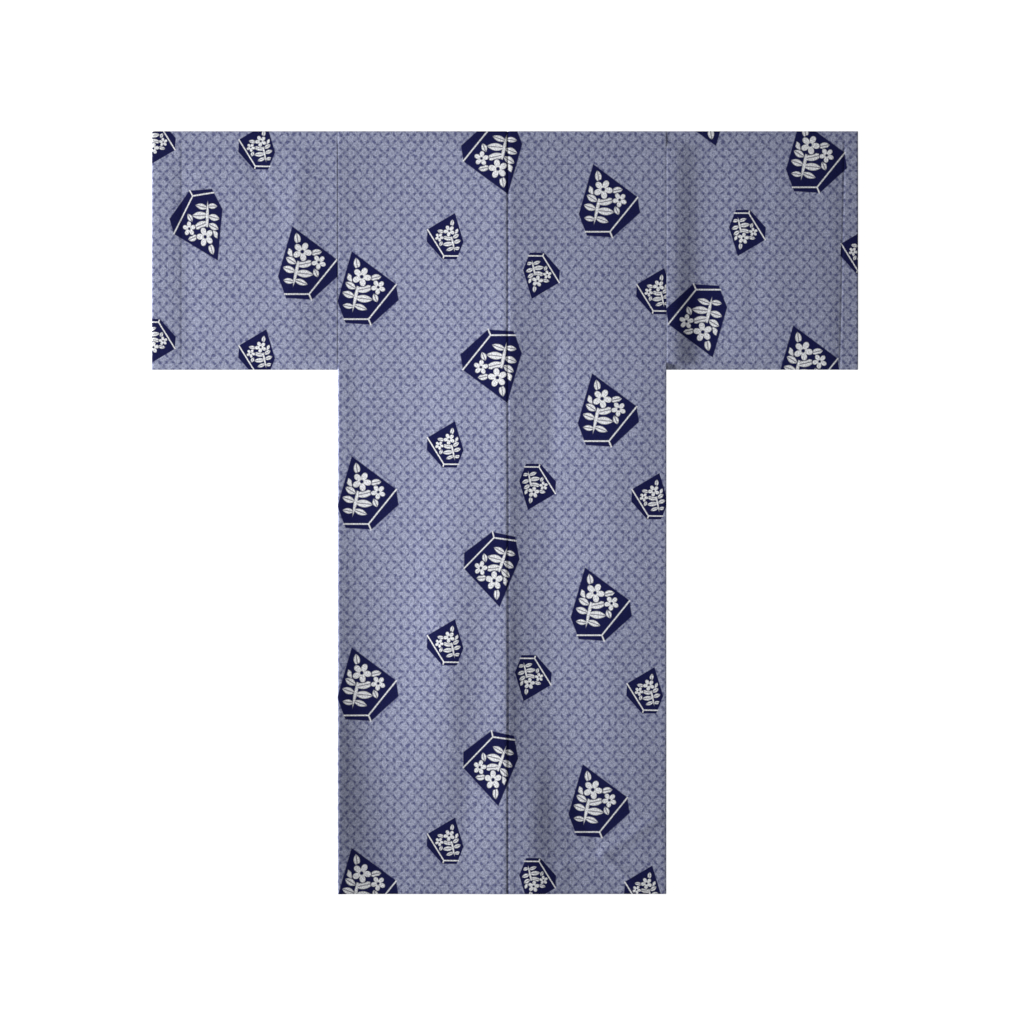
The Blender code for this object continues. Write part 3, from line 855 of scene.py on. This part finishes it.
def repeat_shade(nodes, place):
    """The small repeat: how dark the print is, from soft waves along the sides of a diamond."""
    wander = nodes.add("ShaderNodeTexNoise", (place,), noise_dimensions="2D")
    wander.inputs["Scale"].default_value = WANDER_SCALE
    wander.inputs["Detail"].default_value = NOISE_DETAIL
    wander_by = nodes.vector("SUBTRACT", wander.outputs["Color"], (0.5, 0.5, 0.5))
    moved = nodes.vector("ADD", place, nodes.vector("MULTIPLY", wander_by, (*WANDER, 0.0)))
    parts = nodes.add("ShaderNodeSeparateXYZ", (nodes.vector("DIVIDE", moved, (*DIAMOND, 1.0)),))
    first, second, third = [], [], []
    for operation in ("ADD", "SUBTRACT"):
        angle = nodes.math("MULTIPLY", nodes.math(operation, *parts.outputs[:2]), 2 * math.pi)
        first.append(nodes.math("COSINE", angle))
        second.append(nodes.math("COSINE", nodes.math("MULTIPLY", angle, 2.0)))
        third.append(nodes.math("COSINE", nodes.math("MULTIPLY", angle, 3.0)))
    crossed = nodes.math(
        "ADD",
        nodes.math("MULTIPLY", first[0], second[1]),
        nodes.math("MULTIPLY", first[1], second[0]),
    )
    waves = (
        nodes.math("ADD", *first),
        nodes.math("MULTIPLY", *first),
        nodes.math("ADD", *second),
        crossed,
        nodes.math("MULTIPLY", *second),
        nodes.math("ADD", *third),
    )
    dark = REPEAT_MEAN
    for wave, strength in zip(waves, WAVE_STRENGTHS):
        dark = nodes.math("MULTIPLY_ADD", wave, -REPEAT_CONTRAST * strength, dark)
    return nodes.math("MINIMUM", nodes.math("MAXIMUM", dark, 0.0), REPEAT_DARKEST)


def stroke_value(nodes, point, stroke):
    """Above zero inside a brush stroke with pointed ends. A wide one has a vein left blank."""
    turn = math.radians(stroke.degrees)
    off = nodes.vector("SUBTRACT", point, (stroke.x, stroke.y, 0.0))
    along = (math.cos(turn) / stroke.length, math.sin(turn) / stroke.length, 0.0)
    across = (-math.sin(turn), math.cos(turn), 0.0)
    u = nodes.vector("DOT_PRODUCT", off, along)
    w = nodes.math("ABSOLUTE", nodes.vector("DOT_PRODUCT", off, across))
    bulge = nodes.math("MULTIPLY", u, nodes.math("SUBTRACT", 1.0, u))
    leaf = nodes.math("SUBTRACT", nodes.math("MULTIPLY", bulge, 4 * stroke.half_width), w)
    if stroke.half_width < VEINED_FROM:
        return leaf
    return nodes.math("MINIMUM", leaf, nodes.math("SUBTRACT", w, VEIN_HALF_WIDTH))


def blossom_value(nodes, point, blossom):
    """Above zero on the five petals of a blossom, and below it in their gaps and the eye."""
    off = nodes.vector("SUBTRACT", point, (blossom.x, blossom.y, 0.0))
    parts = nodes.add("ShaderNodeSeparateXYZ", (off,))
    angle = nodes.math("ARCTAN2", parts.outputs[1], parts.outputs[0])
    turned = nodes.math("MULTIPLY_ADD", angle, PETALS / 2, blossom.turn)
    wave = nodes.math("ABSOLUTE", nodes.math("COSINE", turned))
    length = nodes.add("ShaderNodeVectorMath", (off,), operation="LENGTH").outputs["Value"]
    petal = PETAL_SHARE * blossom.radius
    core = (1 - PETAL_SHARE) * blossom.radius
    reach = nodes.math("MULTIPLY_ADD", nodes.math("POWER", wave, PETAL_ROUNDNESS), petal, core)
    petals = nodes.math("SUBTRACT", reach, length)
    eye = nodes.math("SUBTRACT", length, EYE_SHARE * blossom.radius)
    return nodes.math("MINIMUM", petals, eye)


def outline_value(nodes, point, corners):
    """Above zero inside a convex outline whose corners run clockwise."""
    nearest = None
    for start, end in zip(corners, corners[1:] + corners[:1]):
        run_x, run_y = end[0] - start[0], end[1] - start[1]
        length = math.hypot(run_x, run_y)
        inward = (run_y / length, -run_x / length)
        reach = inward[0] * start[0] + inward[1] * start[1]
        depth = nodes.math("SUBTRACT", nodes.vector("DOT_PRODUCT", point, (*inward, 0.0)), reach)
        nearest = depth if nearest is None else nodes.math("MINIMUM", nearest, depth)
    return nearest


def line_value(nodes, point, start, end, half_width):
    """Above zero on a straight line of that width."""
    run_x, run_y = end[0] - start[0], end[1] - start[1]
    length = math.hypot(run_x, run_y)
    along = (run_x / length, run_y / length)
    off = nodes.vector("SUBTRACT", point, (*start, 0.0))
    u = nodes.vector("DOT_PRODUCT", off, (*along, 0.0))
    w = nodes.math("ABSOLUTE", nodes.vector("DOT_PRODUCT", off, (-along[1], along[0], 0.0)))
    ends = nodes.math("MINIMUM", u, nodes.math("SUBTRACT", length, u))
    ends = nodes.math("ADD", ends, half_width)
    return nodes.math("MINIMUM", nodes.math("SUBTRACT", half_width, w), ends)


def highest(nodes, values):
    """The largest of several values."""
    top = values[0]
    for value in values[1:]:
        top = nodes.math("MAXIMUM", top, value)
    return top


def printed_cotton():
    """Pale blue cotton with a small repeat and large navy motifs."""
    material = bpy.data.materials.new("printed_cotton")
    material.use_nodes = True
    nodes = Nodes(material.node_tree)
    shader = material.node_tree.nodes["Principled BSDF"]
    place = nodes.add("ShaderNodeUVMap", uv_map="cloth").outputs[0]
    point = nodes.add("ShaderNodeUVMap", uv_map="motif").outputs[0]
    small = nodes.add("ShaderNodeAttribute", attribute_name="small_motif").outputs["Fac"]

    colour = nodes.mix(repeat_shade(nodes, place), LIGHT_BLUE, DARK_BLUE)
    blotch = nodes.add("ShaderNodeTexNoise", (place,), noise_dimensions="2D")
    blotch.inputs["Scale"].default_value = BLOTCH_SCALE
    blotch.inputs["Detail"].default_value = NOISE_DETAIL
    low = 1 - BLOTCH_STRENGTH / 2
    uneven = nodes.math("MULTIPLY_ADD", blotch.outputs["Fac"], BLOTCH_STRENGTH, low)

    inside, lines = {}, {}
    for size in ("large", "small"):
        inside[size] = outline_value(nodes, point, OUTLINES[size])
        width = LINE_HALF_WIDTH[size]
        lines[size] = highest(
            nodes, [line_value(nodes, point, *ends, width) for ends in WHITE_LINES[size]]
        )
    navy = nodes.add("ShaderNodeMix", (small, None, inside["large"], inside["small"])).outputs[0]
    line = nodes.add("ShaderNodeMix", (small, None, lines["large"], lines["small"])).outputs[0]
    strokes = [stroke_value(nodes, point, stroke) for stroke in SPRIG]
    blossoms = [blossom_value(nodes, point, blossom) for blossom in BLOSSOMS]
    sprig = highest(nodes, strokes + blossoms)
    for blossom in BLOSSOMS:
        off = nodes.vector("SUBTRACT", point, (blossom.x, blossom.y, 0.0))
        length = nodes.add("ShaderNodeVectorMath", (off,), operation="LENGTH").outputs["Value"]
        clear = nodes.math("SUBTRACT", length, blossom.radius + BLOSSOM_MARGIN)
        on_petals = blossom_value(nodes, point, blossom)
        sprig = nodes.math("MINIMUM", sprig, nodes.math("MAXIMUM", clear, on_petals))
    sprig = nodes.math("MINIMUM", sprig, nodes.math("SUBTRACT", navy, OUTLINE_MARGIN))
    on_line = nodes.edge(line, LINE_SOFTNESS)
    on_sprig = nodes.edge(sprig, PRINT_SOFTNESS)
    white = nodes.math("MAXIMUM", on_line, on_sprig)

    colour = nodes.mix(nodes.edge(navy, PRINT_SOFTNESS), colour, NAVY)
    colour = nodes.mix(white, colour, WHITE)
    tinted = nodes.vector("SCALE", colour)
    nodes.tree.links.new(uneven, tinted.node.inputs["Scale"])
    nodes.tree.links.new(tinted, shader.inputs["Base Color"])

    drawn_out = nodes.add("ShaderNodeMapping", (place,))
    drawn_out.inputs["Scale"].default_value = THREAD_SCALE
    threads = nodes.add("ShaderNodeTexNoise", (drawn_out.outputs[0],), noise_dimensions="2D")
    threads.inputs["Scale"].default_value = 1.0
    threads.inputs["Detail"].default_value = THREAD_DETAIL
    bump = nodes.add("ShaderNodeBump")
    bump.inputs["Strength"].default_value = THREAD_STRENGTH
    bump.inputs["Distance"].default_value = THREAD_HEIGHT
    nodes.tree.links.new(threads.outputs["Fac"], bump.inputs["Height"])
    nodes.tree.links.new(bump.outputs[0], shader.inputs["Normal"])
    shader.inputs["Roughness"].default_value = COTTON_ROUGHNESS
    shader.inputs["Sheen Weight"].default_value = COTTON_SHEEN
    shader.inputs["Specular IOR Level"].default_value = COTTON_SPECULAR
    return material


# Light and camera: a low soft light from the left, a soft box overhead, and a plain camera
PICTURE_WIDTH = 1.879
LENS = 100.0
SENSOR = 36.0
CAMERA_PLACE = (0.0128, 0.0009, 0.005)
KEY_ELEVATION = 8.5
KEY_DISTANCE = 7.5
KEY_Y = 0.3
KEY_SIZE = 2.2
KEY_WATTS = 2150.0
TOP_PLACE = (-0.14, 0.12, 1.15)
TOP_SIZE = 0.7
TOP_WATTS = 4.7
WORLD_GREY = 0.04
FLOOR_GLOW = 0.95
FLOOR_WHITE = 0.30
FLOOR_SIZE = 8.0


def add_area_light(name, place, aim, size, watts):
    light = bpy.data.lights.new(name, "AREA")
    light.size = size
    light.energy = watts
    lamp = bpy.data.objects.new(name, light)
    lamp.location = place
    lamp.rotation_euler = (Vector(aim) - Vector(place)).to_track_quat("-Z", "Y").to_euler()
    lamp.visible_camera = False
    bpy.context.scene.collection.objects.link(lamp)


def add_floor():
    """A plain white surface, bright enough to show white all over."""
    half = FLOOR_SIZE / 2
    corners = [(-half, -half, 0), (half, -half, 0), (half, half, 0), (-half, half, 0)]
    mesh = bpy.data.meshes.new("floor")
    mesh.from_pydata(corners, [], [(0, 1, 2, 3)])
    material = bpy.data.materials.new("floor_white")
    material.use_nodes = True
    shader = material.node_tree.nodes["Principled BSDF"]
    shader.inputs["Base Color"].default_value = (FLOOR_WHITE, FLOOR_WHITE, FLOOR_WHITE, 1)
    shader.inputs["Roughness"].default_value = 1.0
    shader.inputs["Specular IOR Level"].default_value = 0.0
    shader.inputs["Emission Color"].default_value = (1, 1, 1, 1)
    shader.inputs["Emission Strength"].default_value = FLOOR_GLOW
    mesh.materials.append(material)
    floor = bpy.data.objects.new("floor", mesh)
    bpy.context.scene.collection.objects.link(floor)
    return floor


def add_camera():
    camera = bpy.data.cameras.new("camera")
    camera.lens = LENS
    camera.sensor_width = SENSOR
    holder = bpy.data.objects.new("camera", camera)
    x, y, z = CAMERA_PLACE
    holder.location = (x, y, z + PICTURE_WIDTH * LENS / SENSOR)
    bpy.context.scene.collection.objects.link(holder)
    bpy.context.scene.camera = holder


def add_world():
    world = bpy.data.worlds.new("room")
    world.use_nodes = True
    background = world.node_tree.nodes["Background"]
    background.inputs["Color"].default_value = (WORLD_GREY, WORLD_GREY, WORLD_GREY, 1)
    bpy.context.scene.world = world


PRINTED_COTTON = printed_cotton()

floor = add_floor()
add_world()
add_camera()
elevation = math.radians(KEY_ELEVATION)
key_place = (-KEY_DISTANCE * math.cos(elevation), KEY_Y, KEY_DISTANCE * math.sin(elevation))
add_area_light("key", key_place, (0, 0, 0), KEY_SIZE, KEY_WATTS)
add_area_light("overhead", TOP_PLACE, (TOP_PLACE[0], TOP_PLACE[1], 0), TOP_SIZE, TOP_WATTS)
bpy.context.scene.view_settings.view_transform = "Standard"

pieces = {}
for side in TOWARDS:
    pieces[f"body_{side}"] = body_piece(side)
    pieces[f"sleeve_{side}"] = sleeve_piece(side)
    pieces[f"okumi_{side}"] = okumi_piece(side)
pieces["collar"] = collar_piece()
for node, piece in pieces.items():
    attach(piece, "root")
    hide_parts(node)

# Flat cuts, looked up here and not used: a body length is as wide as its half of the back, less
# the slope of the neck
for side in TOWARDS:
    width = BACK_WIDTH[side]
    pieces[f"body_{side}"]
    pieces[f"sleeve_{side}"]
    SLEEVE_WIDTH[side] + CUFF_TURN[side]
    pieces[f"okumi_{side}"]
    floor if side == "left" else pieces["okumi_left"]
lines = collar_lines()
collar_length = sum(math.dist(a[0], b[0]) for a, b in zip(lines, lines[1:]))
pieces["collar"]
